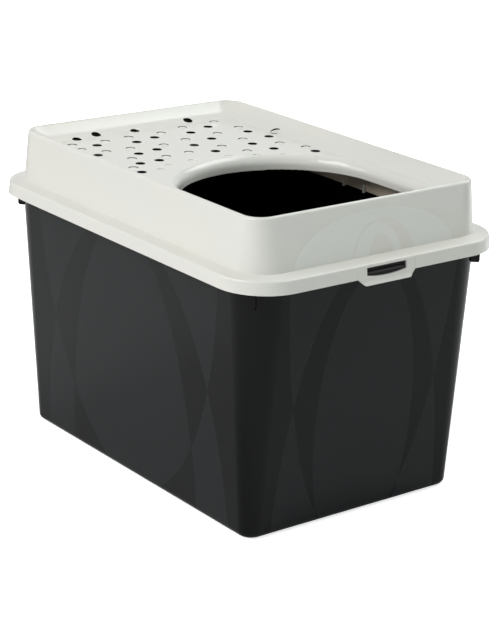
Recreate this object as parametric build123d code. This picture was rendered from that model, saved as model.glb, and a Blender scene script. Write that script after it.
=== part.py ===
from build123d import *
import math
import os

# Top entry litter box: an open tub, and a lift-off lid with a vented deck and an entry.
# Millimetres. Origin in the middle of the footprint, on the floor. +X is the entry end, +Z is up.

# Tub
mouth_length = 533.0
mouth_width = 359.0
mouth_corner = 46.0
foot_length = 483.4
foot_width = 319.8
foot_corner = 18.0
tub_height = 332.0
tub_wall = 2.5
floor_thickness = 3.0
foot_round = 8.0

# Outward rim flange that carries the lid, and the upright gusset below it at each corner
flange_drop = 1.5
flange_thickness = 2.5
flange_clearance = 0.8
gusset_reach = 8.5
gusset_height = 32.0
gusset_thickness = 2.0
gusset_chamfer = 2.0

# Lid shell
lid_wall = 2.5
seat_gap = 0.3
skirt_overhang_length = 19.5
skirt_overhang_width = 17.5
skirt_corner = 62.4
skirt_height = 16.0
skirt_lean = 2.0
skirt_round = 2.4
ledge_rise = 2.2
shoulder_inset = 2.8
shoulder_corner = 42.0
smallest_corner = 1.0
wall_height = 64.5
wall_lean_length = 10.6
wall_lean_width = 6.7
rim_corner = 26.0
rim_round = 3.6

# Sunk deck and the cove that runs down to it from the rim
cove_width = 31.0
cove_depth = 17.2
cove_start_drop = 0.4
cove_end_slope = 10.0
cove_sections = 7
deck_corner = 10.0

# Entry: an arch of three arcs at its inner end, straight sides and two round corners
entry_length = 263.2
entry_end_margin = 31.3
entry_side_margin = 28.9
entry_crown_shortfall = 12.2
entry_crown_flatness = 10.9
entry_corner = 40.0
lip_wall = 2.3
lip_roll = 12.0
lip_start_slope = 20.0
lip_end_angle = 98.0
lip_depth = 19.0

# Vents: rows of holes across the deck, each row turned from the X axis by this angle
vent_turn = -31.4
vent_width = 12.6
vent_margin = 2.0
vent_cove_reach = 11.0
blind_depth = 1.0
shade_width = 13.0
shade_height = 1.6
shade_shift = 4.6
# Each row: its distance across, its kind, and the places of its holes along it
vent_rows = (
    (-211.0, "shaded", (-104,)),
    (-204.5, "round", (-134,)),
    (-199.5, "shaded", (-81,)),
    (-179.0, "round", (-156, -103, -52)),
    (-168.0, "shaded", (-125, -71)),
    (-136.5, "shaded", (-147, -88, -35, 10)),
    (-127.0, "round", (-181, -121, -60, -11, 31)),
    (-102.5, "round", (-146, -82, -27)),
    (-101.0, "round blind", (17,)),
    (-92.5, "shaded", (-171, -106, -47)),
    (-90.5, "shaded blind", (-3,)),
    (-62.5, "shaded", (-202, -135, -68)),
    (-60.5, "shaded blind", (-25,)),
    (-53.0, "round", (-235, -173, -105)),
    (-27.7, "round", (-206, -140, -74)),
    (-17.5, "shaded", (-235, -169, -100)),
    (-12.6, "shaded blind", (-47,)),
    (13.4, "shaded", (-204, -139, -76)),
    (23.8, "round", (-180, -113)),
    (24.4, "round blind", (-54,)),
    (49.4, "round", (-153, -88)),
    (60.2, "shaded", (-179, -118)),
    (60.2, "shaded blind", (-57,)),
    (92.0, "shaded", (-97,)),
    (102.0, "round", (-75,)),
)

# A pair of locating ribs inside each long wall of the lid
rib_spacing = 41.0
rib_offset = 14.5
rib_width = 2.2
rib_reach = 3.6
rib_root = 0.6
rib_height = 10.0
rib_drop = 1.8

# Latch tongues in the skirt at both ends, and the catches of the tub in their windows
latch_width = 87.0
latch_slit = 0.2
latch_top_gap = 0.1
latch_drop = 8.0
latch_taper = 9.0
latch_corner = 5.0
latch_bend_rise = 1.0
latch_turn = 0.6
latch_flare = 3.5
window_width = 60.0
window_height = 12.0
window_sag = 2.8
window_top_bar = 1.4
catch_root = 4.0
catch_side_gap = 2.0
catch_seat_gap = 0.9
catch_height = 7.0
catch_inset = 0.5
cut_clearance = 1.0

# Heights and outlines that follow
flange_top = tub_height - flange_drop
flange_bottom = flange_top - flange_thickness
skirt_top = flange_top + seat_gap + lid_wall
skirt_bottom = skirt_top - skirt_height
shoulder_height = skirt_top + ledge_rise
lid_top = shoulder_height + wall_height
deck_height = lid_top - cove_depth

skirt_length = mouth_length + 2 * skirt_overhang_length
skirt_width = mouth_width + 2 * skirt_overhang_width
shoulder_length = mouth_length - 2 * shoulder_inset
shoulder_width = mouth_width - 2 * shoulder_inset
rim_length = shoulder_length - 2 * wall_lean_length
rim_width = shoulder_width - 2 * wall_lean_width


def outline(length, width, corner, height):
    """A rounded rectangle at a height."""
    return Pos(0, 0, height) * RectangleRounded(length, width, corner)


def frustum(low, high):
    """The solid between two rounded rectangles, each given as length, width, corner, height."""
    return loft([outline(*low).face(), outline(*high).face()], ruled=True)


def inset(section, amount, drop=0.0):
    """The same rounded rectangle, smaller by an amount all round and lower by a drop."""
    length, width, corner, height = section
    smaller_corner = max(corner - amount, smallest_corner)
    return (length - 2 * amount, width - 2 * amount, smaller_corner, height - drop)


def between(low, high, height):
    """The rounded rectangle where a frustum from low to high passes a height."""
    share = (height - low[3]) / (high[3] - low[3])
    return tuple(a + share * (b - a) for a, b in zip(low, high))


tub_foot = (foot_length, foot_width, foot_corner, 0.0)
tub_mouth = (mouth_length, mouth_width, mouth_corner, tub_height)
skirt_foot = (skirt_length, skirt_width, skirt_corner, skirt_bottom)
skirt_head = inset((skirt_length, skirt_width, skirt_corner, skirt_top), skirt_lean)
shoulder = (shoulder_length, shoulder_width, shoulder_corner, shoulder_height)
rim = (rim_length, rim_width, rim_corner, lid_top)
flange_outline = inset(between(skirt_foot, skirt_head, flange_top), lid_wall + flange_clearance)


def corner_gusset(side_x, side_y):
    """The upright plate below the flange that points outward from a round corner of the tub."""
    length, width, corner, _ = between(tub_foot, tub_mouth, flange_bottom)
    reach = corner + gusset_reach
    size = (reach, gusset_thickness, gusset_height)
    plate = Box(*size, align=(Align.MIN, Align.CENTER, Align.MAX))
    lower_outer_edge = plate.edges().filter_by(Axis.Y).group_by(Axis.Z)[0].sort_by(Axis.X)[-1]
    plate = chamfer(lower_outer_edge, gusset_chamfer)
    heading = math.degrees(math.atan2(side_y, side_x))
    centre = Pos(side_x * (length / 2 - corner), side_y * (width / 2 - corner), flange_bottom)
    return centre * Rot(0, 0, heading) * plate


def window_shape():
    """The latch window seen from outside: X across, and Y up from the top of the strap."""
    half = window_width / 2
    low = -window_top_bar - window_height
    top_left = Vector(-half, -window_top_bar)
    top_right = Vector(half, -window_top_bar)
    low_left = Vector(-half, low + window_sag)
    low_right = Vector(half, low + window_sag)
    edges = [
        Line(top_left, top_right),
        Line(top_right, low_right),
        ThreePointArc(low_right, (0, low), low_left),
        Line(low_left, top_left),
    ]
    return make_face([edge.edge() for edge in edges])


def seen_from_front(shape):
    """A prism along X at the +X end, from a shape drawn as the window is."""
    plane = Plane((0, 0, latch_top), x_dir=(0, 1, 0), z_dir=(1, 0, 0))
    return extrude(plane * shape, skirt_length)


def latch_catch():
    """The wedge on the flange that stands in the latch window at the +X end."""
    root = flange_outline[0] / 2
    low = latch_top - window_top_bar - window_height + catch_seat_gap
    tip = low + catch_height / 2
    nose = skirt_face_at(tip) - catch_inset
    profile = Polyline(
        (root - catch_root, flange_top),
        (root, flange_top),
        (root, low + catch_height),
        (nose, tip),
        (nose, low),
        (root - catch_root, low),
        close=True,
    )
    face = Plane.XZ * make_face(profile.edges())
    wedge = extrude(face, window_width / 2 - catch_side_gap, both=True)
    above = Pos(0, -window_top_bar) * Rectangle(
        window_width, window_height, align=(Align.CENTER, Align.MIN)
    )
    return wedge & seen_from_front(Pos(0, catch_seat_gap) * (window_shape() + above))


def tub():
    body = frustum(tub_foot, tub_mouth)
    body = fillet(body.faces().sort_by(Axis.Z)[0].edges(), foot_round)
    flange = Pos(0, 0, flange_bottom) * extrude(
        RectangleRounded(*flange_outline[:3]), flange_thickness
    )
    body = body + flange
    for side_x in (-1, 1):
        for side_y in (-1, 1):
            body = body + corner_gusset(side_x, side_y)
    catch = latch_catch()
    body = body + catch + mirror(catch, Plane.YZ)
    cavity_foot = inset(between(tub_foot, tub_mouth, floor_thickness), tub_wall)
    cavity = frustum(cavity_foot, inset(tub_mouth, tub_wall))
    cavity = fillet(cavity.faces().sort_by(Axis.Z)[0].edges(), foot_round - tub_wall)
    return body - cavity


def cove_circle():
    """Centre and radius of the cove's arc. X is inward from the rim and Y is up."""
    start = Vector(rim_round, lid_top - cove_start_drop)
    end = Vector(cove_width, deck_height)
    slope = math.radians(cove_end_slope)
    normal = Vector(math.sin(slope), math.cos(slope))
    chord = start - end
    radius = chord.dot(chord) / (2 * chord.dot(normal))
    return start, end, end + normal * radius, radius


def cove_profile(extra):
    """Insets from the rim and heights down the cove. Extra is the depth below its surface."""
    start, end, centre, radius = cove_circle()
    first = math.atan2(start.Y - centre.Y, start.X - centre.X)
    last = math.atan2(end.Y - centre.Y, end.X - centre.X)
    points = []
    for index in range(cove_sections):
        angle = first + (last - first) * index / (cove_sections - 1)
        inward = centre.X + (radius + extra) * math.cos(angle)
        height = centre.Y + (radius + extra) * math.sin(angle)
        points.append((inward, height))
    return points


def surface_height(x, y):
    """Height of the deck, or of the cove round it, at a place."""
    inward = min(rim_length / 2 - abs(x), rim_width / 2 - abs(y))
    if inward >= cove_width:
        return deck_height
    _, _, centre, radius = cove_circle()
    return centre.Y - math.sqrt(radius**2 - (inward - centre.X) ** 2)


def recess(extra):
    """The bowl above the deck, or with extra, the bowl that the lid's wall thickness leaves."""
    sections = []
    for inward, height in cove_profile(extra):
        share = min(max(inward / cove_width, 0.0), 1.0)
        corner = rim_corner + share * (deck_corner - rim_corner) + extra
        sections.append(outline(rim_length - 2 * inward, rim_width - 2 * inward, corner, height).face())
    bowl = loft(sections)
    mouth = rim_round - cove_start_drop - extra
    above = frustum(inset(rim, mouth, cove_start_drop), inset(rim, mouth, -lid_wall * 4))
    return bowl, above


def entry_outline():
    """The closed line of the entry's crease, from the middle of its +X side round."""
    end_x = rim_length / 2 - entry_end_margin
    half = rim_width / 2 - entry_side_margin
    tip_x = end_x - entry_length
    crown = half - entry_crown_shortfall
    spring_x = tip_x + crown
    shoulder_radius = crown - entry_crown_flatness
    offset = half - shoulder_radius
    tip_radius = (crown**2 + offset**2 - shoulder_radius**2) / (2 * entry_crown_flatness)
    tip_centre = Vector(tip_x + tip_radius, 0)
    shoulder_centre = Vector(spring_x, offset)
    toward = (shoulder_centre - tip_centre).normalized()
    join = tip_centre + toward * tip_radius
    middle = shoulder_centre + (toward + Vector(0, 1)).normalized() * shoulder_radius
    bend = entry_corner * (1 - math.sqrt(0.5))
    corner_start = Vector(end_x, half - entry_corner)
    corner_middle = Vector(end_x - bend, half - bend)
    corner_end = Vector(end_x - entry_corner, half)
    upper = [
        Line((end_x, 0), corner_start),
        ThreePointArc(corner_start, corner_middle, corner_end),
        Line(corner_end, (spring_x, half)),
        ThreePointArc((spring_x, half), middle, join),
    ]
    tip = ThreePointArc(join, (tip_x, 0), (join.X, -join.Y))
    lower = [mirror(edge, Plane.XZ) for edge in upper]
    edges = [edge.edge() for edge in upper + [tip] + lower]
    return Pos(0, 0, deck_height) * Wire(edges)


def lip_profile():
    """The section of the rolled lip. X is inward from the crease and Y is up from the deck."""
    start = math.radians(lip_start_slope)
    end = math.radians(lip_end_angle)
    centre = Vector(-lip_roll * math.sin(start), -lip_roll * math.cos(start))

    def on_roll(radius, angle):
        return centre + Vector(math.sin(angle), math.cos(angle)) * radius

    middle = (start + end) / 2
    inner_roll = lip_roll - lip_wall
    roll_end = on_roll(lip_roll, end)
    back_end = on_roll(inner_roll, end)
    down = Vector(math.cos(end), -math.sin(end))
    fall = (lip_depth - lip_wall / 2 + roll_end.Y) / math.sin(end)
    foot = roll_end + down * fall
    back_foot = back_end + down * fall
    foot_middle = (foot + back_foot) * 0.5 + down * (lip_wall / 2)
    root = on_roll(inner_roll, start)
    edges = [
        ThreePointArc((0, 0), on_roll(lip_roll, middle), roll_end),
        Line(roll_end, foot),
        ThreePointArc(foot, foot_middle, back_foot),
        Line(back_foot, back_end),
        ThreePointArc(back_end, on_roll(inner_roll, middle), root),
        Line(root, (-lip_wall, root.Y)),
        Line((-lip_wall, root.Y), (-lip_wall, 0)),
        Line((-lip_wall, 0), (0, 0)),
    ]
    return make_face([edge.edge() for edge in edges])


def entry_lip():
    line = entry_outline()
    start = line.position_at(0)
    section = Plane(start, x_dir=(-1, 0, 0), z_dir=(0, 1, 0)) * lip_profile()
    return sweep(section, path=line)


def vent_place(along, across):
    """A place on the deck, from the turned frame of the vent rows."""
    turn = math.radians(vent_turn)
    x = along * math.cos(turn) - across * math.sin(turn)
    y = along * math.sin(turn) + across * math.cos(turn)
    return x, y


def vent_is_clear(x, y, blind, entry):
    """True where a hole is off the entry and no further up the cove than it may be."""
    step_in = 2 * (cove_width - vent_cove_reach)
    field = RectangleRounded(rim_length - step_in, rim_width - step_in, deck_corner).face()
    margin = 0.0 if blind else vent_width / 2 + vent_margin
    on_field = field.distance_to(Vertex(x, y, 0)) < 0.001
    return on_field and entry.distance_to(Vertex(x, y, deck_height)) > margin


def vents():
    """The cutters of all vents, and the low shades that stand in the way of some of them."""
    entry = make_face(entry_outline().edges())
    cap_radius = (shade_width**2 / 4 + shade_height**2) / (2 * shade_height)
    shade_x, shade_y = vent_place(shade_shift, 0)
    ball = Pos(0, 0, shade_height - cap_radius) * Sphere(cap_radius)
    keep = Cylinder(shade_width / 2, cap_radius, align=(Align.CENTER, Align.CENTER, Align.MIN))
    cap = ball & Pos(0, 0, -lid_wall / 2) * keep
    cutters = []
    shades = []
    for across, kind, places in vent_rows:
        blind = "blind" in kind
        depth = blind_depth if blind else lid_wall * 2
        for along in places:
            x, y = vent_place(along, across)
            if not vent_is_clear(x, y, blind, entry):
                continue
            hole = Pos(x, y) * Circle(vent_width / 2)
            if "shaded" in kind:
                shade_spot = (x + shade_x, y + shade_y)
                hole = hole - Pos(*shade_spot) * Circle(shade_width / 2)
                if not blind:
                    shades.append(Pos(*shade_spot, surface_height(*shade_spot)) * cap)
            cutter = extrude(hole, depth + cove_depth)
            cutters.append(Pos(0, 0, deck_height - depth) * cutter)
    return cutters, shades


def locating_ribs():
    """Short ribs on the inner face of the long walls, which hang into the tub's mouth."""
    bottom = shoulder_height - lid_wall - rib_drop
    ribs = []
    for side in (-1, 1):
        for step in (-0.5, 0.5):
            x = rib_offset + step * rib_spacing
            face = shoulder_width / 2 - lid_wall
            size = (rib_width, rib_reach + rib_root, rib_height)
            rib = Box(*size, align=(Align.CENTER, Align.MAX, Align.MIN))
            rib = Pos(x, face + rib_root, bottom) * rib
            ribs.append(rib if side > 0 else mirror(rib, Plane.XZ))
    return ribs


def skirt_face_at(height):
    """X of the skirt's outer face at the +X end, at a height."""
    return between(skirt_foot, skirt_head, height)[0] / 2


latch_top = skirt_top - skirt_round - latch_top_gap


def latch_tongue():
    """The sprung strap of the skirt at the +X end, with its window and its finger edge."""
    low = skirt_bottom - latch_drop
    top_x = skirt_face_at(latch_top)
    bend_z = skirt_bottom + latch_bend_rise
    bend_x = skirt_face_at(bend_z)
    flare_x = skirt_face_at(skirt_bottom) + latch_flare
    turn_z = skirt_bottom - latch_drop / 2
    turn_x = bend_x + latch_turn
    profile = Polyline(
        (top_x, latch_top),
        (bend_x, bend_z),
        (turn_x, turn_z),
        (flare_x, low),
        (flare_x - lid_wall, low),
        (turn_x - lid_wall, turn_z),
        (bend_x - lid_wall, bend_z),
        (top_x - lid_wall, latch_top),
        close=True,
    )
    face = Plane.XZ * make_face(profile.edges())
    strap = extrude(face, latch_width / 2, both=True)
    return strap & seen_from_front(latch_shape() - window_shape())


def latch_shape():
    """The strap seen from outside, drawn as the window is: it tapers below the skirt."""
    half = latch_width / 2
    neck = skirt_bottom - latch_top
    low = neck - latch_drop
    corners = [
        (-half, 0),
        (-half, neck),
        (latch_taper - half, low),
        (half - latch_taper, low),
        (half, neck),
        (half, 0),
    ]
    shape = make_face(Polyline(*corners, close=True).edges())
    lower_corners = shape.vertices().group_by(Axis.Y)[0] + shape.vertices().group_by(Axis.Y)[1]
    return fillet(lower_corners, latch_corner)


def latch_notch():
    """The room that the skirt leaves for the strap at the +X end."""
    width = latch_width + 2 * latch_slit
    height = latch_top + latch_top_gap - skirt_bottom + cut_clearance
    notch = Box(lid_wall * 4, width, height, align=(Align.CENTER, Align.CENTER, Align.MIN))
    return Pos(skirt_length / 2 - lid_wall, 0, skirt_bottom - cut_clearance) * notch


def lid():
    wall = frustum(shoulder, rim)
    wall = fillet(wall.faces().sort_by(Axis.Z)[-1].edges(), rim_round)
    ledge = frustum(skirt_head, shoulder)
    skirt = frustum(skirt_foot, skirt_head)
    base = skirt + ledge
    bend = [e for e in base.edges() if abs(e.center().Z - skirt_top) < 0.01]
    base = fillet(bend, skirt_round)
    body = base + wall
    bowl, above = recess(0.0)
    body = body - bowl - above

    inner_skirt = frustum(inset(skirt_foot, lid_wall), inset(skirt_head, lid_wall, lid_wall))
    inner_ledge = frustum(inset(skirt_head, lid_wall, lid_wall), inset(shoulder, lid_wall, lid_wall))
    low_shoulder = inset(shoulder, lid_wall, lid_wall)
    inner_wall = frustum(low_shoulder, inset(rim, lid_wall, lid_wall))
    under_bowl, under_above = recess(lid_wall)
    hollow = inner_wall - under_bowl - under_above
    body = body - inner_skirt - inner_ledge - hollow

    opening = extrude(make_face(entry_outline().edges()), lid_wall * 2, both=True)
    body = body - opening + entry_lip()
    cutters, shades = vents()
    body = body + shades - cutters
    body = body + locating_ribs()
    notch = latch_notch()
    return body - notch - mirror(notch, Plane.YZ)


parts = {
    "base_tub": tub(),
    "lid": lid(),
    "front_latch": latch_tongue(),
}
parts["rear_latch"] = mirror(parts["front_latch"], Plane.YZ)

os.makedirs("parts", exist_ok=True)
for name, shape in parts.items():
    export_step(shape, f"parts/{name}.step")
    print(name, round(shape.volume), len(shape.solids()), shape.is_valid)
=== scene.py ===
import math

import bpy
from mathutils import Matrix, Vector

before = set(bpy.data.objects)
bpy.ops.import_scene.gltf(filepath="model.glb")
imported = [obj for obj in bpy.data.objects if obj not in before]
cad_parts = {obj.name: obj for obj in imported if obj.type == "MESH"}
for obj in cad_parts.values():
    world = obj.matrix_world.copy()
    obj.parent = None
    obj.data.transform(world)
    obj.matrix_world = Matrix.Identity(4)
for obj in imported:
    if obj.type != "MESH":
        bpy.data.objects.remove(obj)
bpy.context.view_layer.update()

print("frame loaded:", sorted(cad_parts))


# node helpers: each adds nodes to a tree and returns the socket with the result

def newMaterial(name):
    material = bpy.data.materials.new(name)
    material.use_nodes = True
    tree = material.node_tree
    return material, tree, tree.nodes["Principled BSDF"]


def mathNode(tree, operation, first, second=None):
    node = tree.nodes.new("ShaderNodeMath")
    node.operation = operation
    for index, value in enumerate((first, second)):
        if value is None:
            continue
        if isinstance(value, (int, float)):
            node.inputs[index].default_value = value
        else:
            tree.links.new(value, node.inputs[index])
    return node.outputs[0]


def objectPlace(tree):
    # where the shaded point is in the part's own frame, in metres
    return tree.nodes.new("ShaderNodeTexCoord").outputs["Object"]


def axes(tree, vector):
    split = tree.nodes.new("ShaderNodeSeparateXYZ")
    tree.links.new(vector, split.inputs[0])
    return split.outputs[0], split.outputs[1], split.outputs[2]


def allOf(tree, first, *others):
    for other in others:
        first = mathNode(tree, "MULTIPLY", first, other)
    return first


def between(tree, value, low, high):
    above = mathNode(tree, "GREATER_THAN", value, low)
    below = mathNode(tree, "LESS_THAN", value, high)
    return allOf(tree, above, below)


def diagonal(tree, first, second):
    # the square root of both values squared and added
    squares = [mathNode(tree, "MULTIPLY", value, value) for value in (first, second)]
    return mathNode(tree, "SQRT", mathNode(tree, "ADD", *squares))


def noise(tree, place, scale):
    node = tree.nodes.new("ShaderNodeTexNoise")
    node.inputs["Scale"].default_value = scale
    node.inputs["Detail"].default_value = 2.0
    tree.links.new(place, node.inputs["Vector"])
    return node.outputs["Fac"]


def mapped(tree, value, low, high, toLow, toHigh):
    node = tree.nodes.new("ShaderNodeMapRange")
    node.inputs["From Min"].default_value = low
    node.inputs["From Max"].default_value = high
    node.inputs["To Min"].default_value = toLow
    node.inputs["To Max"].default_value = toHigh
    tree.links.new(value, node.inputs["Value"])
    return node.outputs["Result"]


def mixColour(tree, factor, first, second):
    node = tree.nodes.new("ShaderNodeMix")
    node.data_type = "RGBA"
    tree.links.new(factor, node.inputs["Factor"])
    for socket, value in ((node.inputs[6], first), (node.inputs[7], second)):
        if isinstance(value, tuple):
            socket.default_value = (*value, 1.0)
        else:
            tree.links.new(value, socket)
    return node.outputs[2]


def bumped(tree, shader, place, look):
    # the fine grain of moulded plastic
    node = tree.nodes.new("ShaderNodeBump")
    node.inputs["Strength"].default_value = look["grainStrength"]
    node.inputs["Distance"].default_value = look["grainDepth"]
    tree.links.new(noise(tree, place, look["grainScale"]), node.inputs["Height"])
    tree.links.new(node.outputs["Normal"], shader.inputs["Normal"])


# the ovals of the finish: they cross, and where two of them lie on each other the finish turns back

ovalEdge = 0.0006  # how soft an oval's edge is, in metres


def insideOval(tree, across, up, oval):
    centre, height, halfWidth, halfHeight = oval
    dx = mathNode(tree, "DIVIDE", mathNode(tree, "SUBTRACT", across, centre), halfWidth)
    dz = mathNode(tree, "DIVIDE", mathNode(tree, "SUBTRACT", up, height), halfHeight)
    soft = ovalEdge / halfWidth
    return mapped(tree, diagonal(tree, dx, dz), 1.0 - soft, 1.0 + soft, 1.0, 0.0)


def ovalPattern(tree, across, up, ovals):
    pattern = insideOval(tree, across, up, ovals[0])
    for oval in ovals[1:]:
        difference = mathNode(tree, "SUBTRACT", pattern, insideOval(tree, across, up, oval))
        pattern = mathNode(tree, "ABSOLUTE", difference)
    return pattern


# the tub: glossy black, with satin ovals on its four outer walls

tubLook = {
    "glossColour": (0.0020, 0.0024, 0.0028),
    "satinColour": (0.0094, 0.0113, 0.0122),
    "glossRoughness": 0.12,
    "satinRoughness": 0.30,
    "specular": 0.19,
    "cloudScale": 9.0,
    "cloudRange": (0.3, 0.7),
    "cloudRoughness": 0.02,  # how much the clouds add to the roughness or take from it
    "grainScale": 260.0,
    "grainStrength": 0.05,
    "grainDepth": 0.0004,
    # each oval: centre across, centre height, half width and half height, in metres
    "endOvals": (
        (0.004, 0.122, 0.0750, 0.197),
        (0.002, -0.050, 0.1295, 0.391),
        (0.002, 0.400, 0.1305, 0.436),
    ),
    "sideOvals": (
        (0.0, -0.023, 0.138, 0.356),
        (0.0, -0.050, 0.205, 0.389),
        (0.0, 0.380, 0.2005, 0.392),
    ),
    # a little within the outer walls: half the size at the floor, and the lean
    "endFace": (0.2405, 0.0747),
    "sideFace": (0.1587, 0.0590),
}


def onOuterFace(tree, across, up, face):
    halfSize, lean = face
    shift = mathNode(tree, "MULTIPLY", up, lean)
    reach = mathNode(tree, "SUBTRACT", mathNode(tree, "ABSOLUTE", across), shift)
    return mathNode(tree, "GREATER_THAN", reach, halfSize)


def tubMaterial(look):
    material, tree, shader = newMaterial("tubPlastic")
    place = objectPlace(tree)
    x, y, z = axes(tree, place)
    onEnd = onOuterFace(tree, x, z, look["endFace"])
    onSide = onOuterFace(tree, y, z, look["sideFace"])
    endPattern = allOf(tree, ovalPattern(tree, y, z, look["endOvals"]), onEnd)
    sidePattern = allOf(tree, ovalPattern(tree, x, z, look["sideOvals"]), onSide)
    satin = mathNode(tree, "MAXIMUM", endPattern, sidePattern)
    colour = mixColour(tree, satin, look["glossColour"], look["satinColour"])
    tree.links.new(colour, shader.inputs["Base Color"])
    rough = mapped(tree, satin, 0.0, 1.0, look["glossRoughness"], look["satinRoughness"])
    change = look["cloudRoughness"]
    cloud = mapped(tree, noise(tree, place, look["cloudScale"]), *look["cloudRange"], -change, change)
    tree.links.new(mathNode(tree, "ADD", rough, cloud), shader.inputs["Roughness"])
    shader.inputs["Specular IOR Level"].default_value = look["specular"]
    bumped(tree, shader, place, look)
    return material


# the lid and its two latches: glossy warm white, with satin ovals on the lid's end walls, a darker,
# warmer painted shade on the hidden inner faces of the walls and a near-black painted shade on the
# walls of the open vents

lidLook = {
    "colour": (0.785, 0.785, 0.740),
    "warmColour": (0.795, 0.785, 0.730),
    "satinColour": (0.805, 0.815, 0.775),
    # painted shade: the hidden inner faces of the white walls, darker and warmer
    "insideShadeColour": (0.73, 0.63, 0.51),
    # painted shade: the walls of the open vents, near black
    "ventShadeColour": (0.006, 0.006, 0.006),
    "glossRoughness": 0.13,
    "satinRoughness": 0.30,
    "cloudScale": 7.0,
    "cloudRange": (0.35, 0.65),
    "grainScale": 220.0,
    "grainStrength": 0.04,
    "grainDepth": 0.0004,
    # each oval: centre across, centre height, half width and half height, in metres
    "endOvals": (
        (0.0, 0.332, 0.120, 0.057),
        (0.012, 0.325, 0.047, 0.0515),
        (0.004, 0.325, 0.037, 0.0476),
        (0.009, 0.322, 0.020, 0.036),
    ),
    # the outer walls at their foot, and how much of each is lost for every unit of height
    "wallFootHeight": 0.3356,
    "wallHalfLength": 0.2637,
    "wallHalfWidth": 0.1767,
    "wallCorner": 0.042,
    "wallLeanLength": 0.1643,
    "wallLeanWidth": 0.1039,
    "wallLeanCorner": 0.248,
    "wallFaceDepth": 0.0008,  # what lies less deep than this is the outer face
    "wallFootMargin": 0.0004,
    # the hidden inner faces of the walls, which get a darker, warmer painted shade: how deep they lie,
    # and how high they reach
    "insideDepths": (0.0012, 0.0032),
    "insideTop": 0.3785,
    # the open vents, whose walls get a painted shade: from the deck's underside to their top in the
    # cove, and the field they fill
    "ventHeights": (0.3799, 0.3862),
    "ventEnds": (-0.249, 0.02),
    "ventHalfWidth": 0.157,
    "ventSteepness": 0.6,  # the walls of the vents are where the normal rises less than this
    # the circle round the entry that has no open vents: its centre and radius
    "entryCentre": (0.113, -0.020),
    "entryRadius": 0.1788,
}


def ventWallShade(tree, look, x, y, z):
    # 1 on the walls of the open vents, which get a near-black painted shade
    geometry = tree.nodes.new("ShaderNodeNewGeometry")
    rise = axes(tree, geometry.outputs["True Normal"])[2]
    steep = mathNode(tree, "LESS_THAN", mathNode(tree, "ABSOLUTE", rise), look["ventSteepness"])
    inWidth = mathNode(tree, "LESS_THAN", mathNode(tree, "ABSOLUTE", y), look["ventHalfWidth"])
    centreX, centreY = look["entryCentre"]
    fromX = mathNode(tree, "SUBTRACT", x, centreX)
    fromY = mathNode(tree, "SUBTRACT", y, centreY)
    outside = mathNode(tree, "GREATER_THAN", diagonal(tree, fromX, fromY), look["entryRadius"])
    inLength = between(tree, x, *look["ventEnds"])
    inHeight = between(tree, z, *look["ventHeights"])
    return allOf(tree, steep, inHeight, inLength, inWidth, outside)


def wallDepth(tree, look, x, y, z):
    # how deep a point lies within the lid's outer walls, less than 0 outside them
    rise = mathNode(tree, "SUBTRACT", z, look["wallFootHeight"])

    def shrunk(size, lean):
        return mathNode(tree, "SUBTRACT", size, mathNode(tree, "MULTIPLY", rise, lean))

    corner = shrunk(look["wallCorner"], look["wallLeanCorner"])
    halfLength = shrunk(look["wallHalfLength"], look["wallLeanLength"])
    halfWidth = shrunk(look["wallHalfWidth"], look["wallLeanWidth"])
    past = []  # how far the point is past the straight stretch of each wall
    for value, half in ((x, halfLength), (y, halfWidth)):
        straight = mathNode(tree, "SUBTRACT", half, corner)
        past.append(mathNode(tree, "SUBTRACT", mathNode(tree, "ABSOLUTE", value), straight))
    outX, outY = [mathNode(tree, "MAXIMUM", value, 0.0) for value in past]
    atCorner = diagonal(tree, outX, outY)
    atWall = mathNode(tree, "MINIMUM", mathNode(tree, "MAXIMUM", *past), 0.0)
    return mathNode(tree, "SUBTRACT", corner, mathNode(tree, "ADD", atCorner, atWall))


def lidMaterial(look):
    material, tree, shader = newMaterial("lidPlastic")
    place = objectPlace(tree)
    x, y, z = axes(tree, place)
    depth = wallDepth(tree, look, x, y, z)
    onFace = mathNode(tree, "LESS_THAN", depth, look["wallFaceDepth"])
    flatHalf = look["wallHalfWidth"] - look["wallCorner"]
    onEnd = mathNode(tree, "LESS_THAN", mathNode(tree, "ABSOLUTE", y), flatHalf)
    onWall = mathNode(tree, "GREATER_THAN", z, look["wallFootHeight"] + look["wallFootMargin"])
    satin = allOf(tree, ovalPattern(tree, y, z, look["endOvals"]), onFace, onEnd, onWall)
    # where the painted shade on the hidden inner faces of the walls goes
    belowRim = mathNode(tree, "LESS_THAN", z, look["insideTop"])
    shadedInside = allOf(tree, between(tree, depth, *look["insideDepths"]), belowRim)
    cloud = mapped(tree, noise(tree, place, look["cloudScale"]), *look["cloudRange"], 0.0, 1.0)
    colour = mixColour(tree, cloud, look["colour"], look["warmColour"])
    colour = mixColour(tree, satin, colour, look["satinColour"])
    # painted shade: the hidden inner faces of the walls turn darker and warmer
    colour = mixColour(tree, shadedInside, colour, look["insideShadeColour"])
    # painted shade: the walls of the open vents turn near black
    colour = mixColour(tree, ventWallShade(tree, look, x, y, z), colour, look["ventShadeColour"])
    tree.links.new(colour, shader.inputs["Base Color"])
    rough = mapped(tree, satin, 0.0, 1.0, look["glossRoughness"], look["satinRoughness"])
    tree.links.new(rough, shader.inputs["Roughness"])
    bumped(tree, shader, place, look)
    return material


def dress(nodeName, material):
    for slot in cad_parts[nodeName].material_slots:
        slot.material = material


dress("base_tub", tubMaterial(tubLook))
lidPlastic = lidMaterial(lidLook)
for nodeName in ("lid", "front_latch", "rear_latch"):
    dress(nodeName, lidPlastic)
print("materials on:", sorted(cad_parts))


# the floor: a plain matt one that keeps the shadow, and looks white further out

floorLook = {
    "size": 14.0,
    "colour": (0.90, 0.90, 0.90),
    "clearFrom": 0.6,  # metres from the middle where the added white starts to grow
    "clearTo": 2.5,
    "whiteNear": 0.70,
    "whiteFar": 1.0,
}


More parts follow.
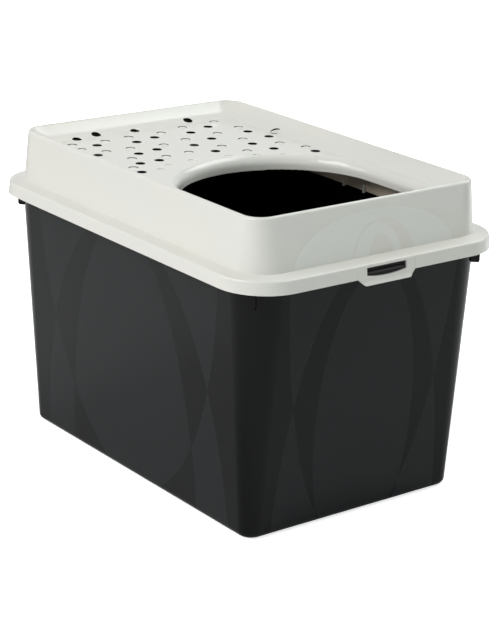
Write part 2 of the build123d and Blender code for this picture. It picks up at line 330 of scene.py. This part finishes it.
def makeFloor(look):
    half = look["size"] / 2
    corners = [(-half, -half, 0), (half, -half, 0), (half, half, 0), (-half, half, 0)]
    mesh = bpy.data.meshes.new("studioFloor")
    mesh.from_pydata(corners, [], [(0, 1, 2, 3)])
    floor = bpy.data.objects.new("studioFloor", mesh)
    bpy.context.scene.collection.objects.link(floor)
    material, tree, shader = newMaterial("studioFloor")
    tree.nodes.remove(shader)
    matt = tree.nodes.new("ShaderNodeBsdfDiffuse")
    matt.inputs["Color"].default_value = (*look["colour"], 1.0)
    x, y, height = axes(tree, objectPlace(tree))
    away = diagonal(tree, x, y)
    white = mapped(tree, away, look["clearFrom"], look["clearTo"], look["whiteNear"], look["whiteFar"])
    rays = tree.nodes.new("ShaderNodeLightPath")
    glow = tree.nodes.new("ShaderNodeEmission")
    tree.links.new(allOf(tree, white, rays.outputs["Is Camera Ray"]), glow.inputs["Strength"])
    total = tree.nodes.new("ShaderNodeAddShader")
    tree.links.new(matt.outputs[0], total.inputs[0])
    tree.links.new(glow.outputs[0], total.inputs[1])
    tree.links.new(total.outputs[0], tree.nodes["Material Output"].inputs["Surface"])
    mesh.materials.append(material)


# the world: white where it is seen, paler in the gloss, and next to nothing as a light

worldLook = {
    "light": 0.01,
    "reflected": 0.90,
}


def makeWorld(look):
    world = bpy.data.worlds.new("studioWorld")
    bpy.context.scene.world = world
    world.use_nodes = True
    tree = world.node_tree
    background = tree.nodes["Background"]
    background.inputs["Color"].default_value = (1.0, 1.0, 1.0, 1.0)
    rays = tree.nodes.new("ShaderNodeLightPath")
    seen = mathNode(tree, "MAXIMUM", rays.outputs["Is Camera Ray"], rays.outputs["Is Transmission Ray"])
    mirrored = mathNode(tree, "MULTIPLY", rays.outputs["Is Glossy Ray"], look["reflected"])
    strength = mathNode(tree, "MAXIMUM", mathNode(tree, "MAXIMUM", seen, mirrored), look["light"])
    tree.links.new(strength, background.inputs["Strength"])


# soft square lamps all round, aimed at the lid

lampLook = {
    "aim": (0.0, 0.0, 0.28),
    "distance": 2.8,
    # compass angle from the front, angle above the floor, size, power in watts, tint, mirrored:
    # the low ones at the back stay out of the gloss, or they would glare on the deck
    "softboxes": {
        "keyFront": (0, 43, 1.7, 51.0, (1.0, 1.0, 1.0), True),
        "frontLow": (330, 18, 1.3, 13.0, (1.0, 1.0, 1.0), True),
        "cameraSide": (52, 18, 1.3, 5.0, (1.0, 1.0, 1.0), True),
        "rightEnd": (90, 18, 1.3, 14.0, (0.93, 1.0, 0.98), False),
        "rearHigh": (180, 46, 1.7, 31.0, (0.97, 1.0, 0.99), True),
        "rearLow": (180, 18, 1.3, 22.0, (0.97, 1.0, 0.99), False),
        "rearLeft": (230, 18, 1.3, 5.5, (0.97, 1.0, 0.99), False),
    },
}


def outwards(compass, rise):
    # the direction from the aim to a lamp or camera, with angles in degrees
    turn = math.radians(compass)
    lift = math.radians(rise)
    return Vector((math.sin(turn) * math.cos(lift), -math.cos(turn) * math.cos(lift), math.sin(lift)))


def makeSoftbox(name, look):
    compass, rise, size, power, tint, mirrored = look["softboxes"][name]
    data = bpy.data.lights.new(name, "AREA")
    data.shape = "SQUARE"
    data.size = size
    data.energy = power
    data.color = tint
    light = bpy.data.objects.new(name, data)
    light.visible_glossy = mirrored
    away = outwards(compass, rise)
    light.location = Vector(look["aim"]) + away * look["distance"]
    light.rotation_mode = "QUATERNION"
    light.rotation_quaternion = (-away).to_track_quat("-Z", "Y")
    bpy.context.scene.collection.objects.link(light)


# the camera stands where the photograph was taken from

cameraLook = {
    "compass": 52.80,
    "rise": 18.97,
    "roll": 1.53,
    "distance": 2.63846,
    "target": (0.01445, 0.00741, 0.1795),
    "focalPixels": 2056.23,
    "centrePixels": (-1.43, 0.08),
    "imageHeight": 642,
    "sensorWidth": 36.0,
    "clipEnd": 60.0,
}


def makeCamera(look):
    data = bpy.data.cameras.new("photoCamera")
    camera = bpy.data.objects.new("photoCamera", data)
    turn = math.radians(look["compass"])
    roll = math.radians(look["roll"])
    back = outwards(look["compass"], look["rise"])
    level = Vector((math.cos(turn), math.sin(turn), 0.0))
    upright = back.cross(level)
    right = level * math.cos(roll) + upright * math.sin(roll)
    up = upright * math.cos(roll) - level * math.sin(roll)
    facing = Matrix((right, up, back)).transposed().to_4x4()
    place = Vector(look["target"]) + back * look["distance"]
    camera.matrix_world = Matrix.Translation(place) @ facing
    data.sensor_width = look["sensorWidth"]
    data.lens = look["focalPixels"] * look["sensorWidth"] / look["imageHeight"]
    data.shift_x = -look["centrePixels"][0] / look["imageHeight"]
    data.shift_y = look["centrePixels"][1] / look["imageHeight"]
    data.clip_end = look["clipEnd"]
    bpy.context.scene.collection.objects.link(camera)
    bpy.context.scene.camera = camera


makeFloor(floorLook)
makeWorld(worldLook)
for lampName in lampLook["softboxes"]:
    makeSoftbox(lampName, lampLook)
makeCamera(cameraLook)
bpy.context.scene.view_settings.view_transform = "Standard"
print("floor, world, lamps and camera made")
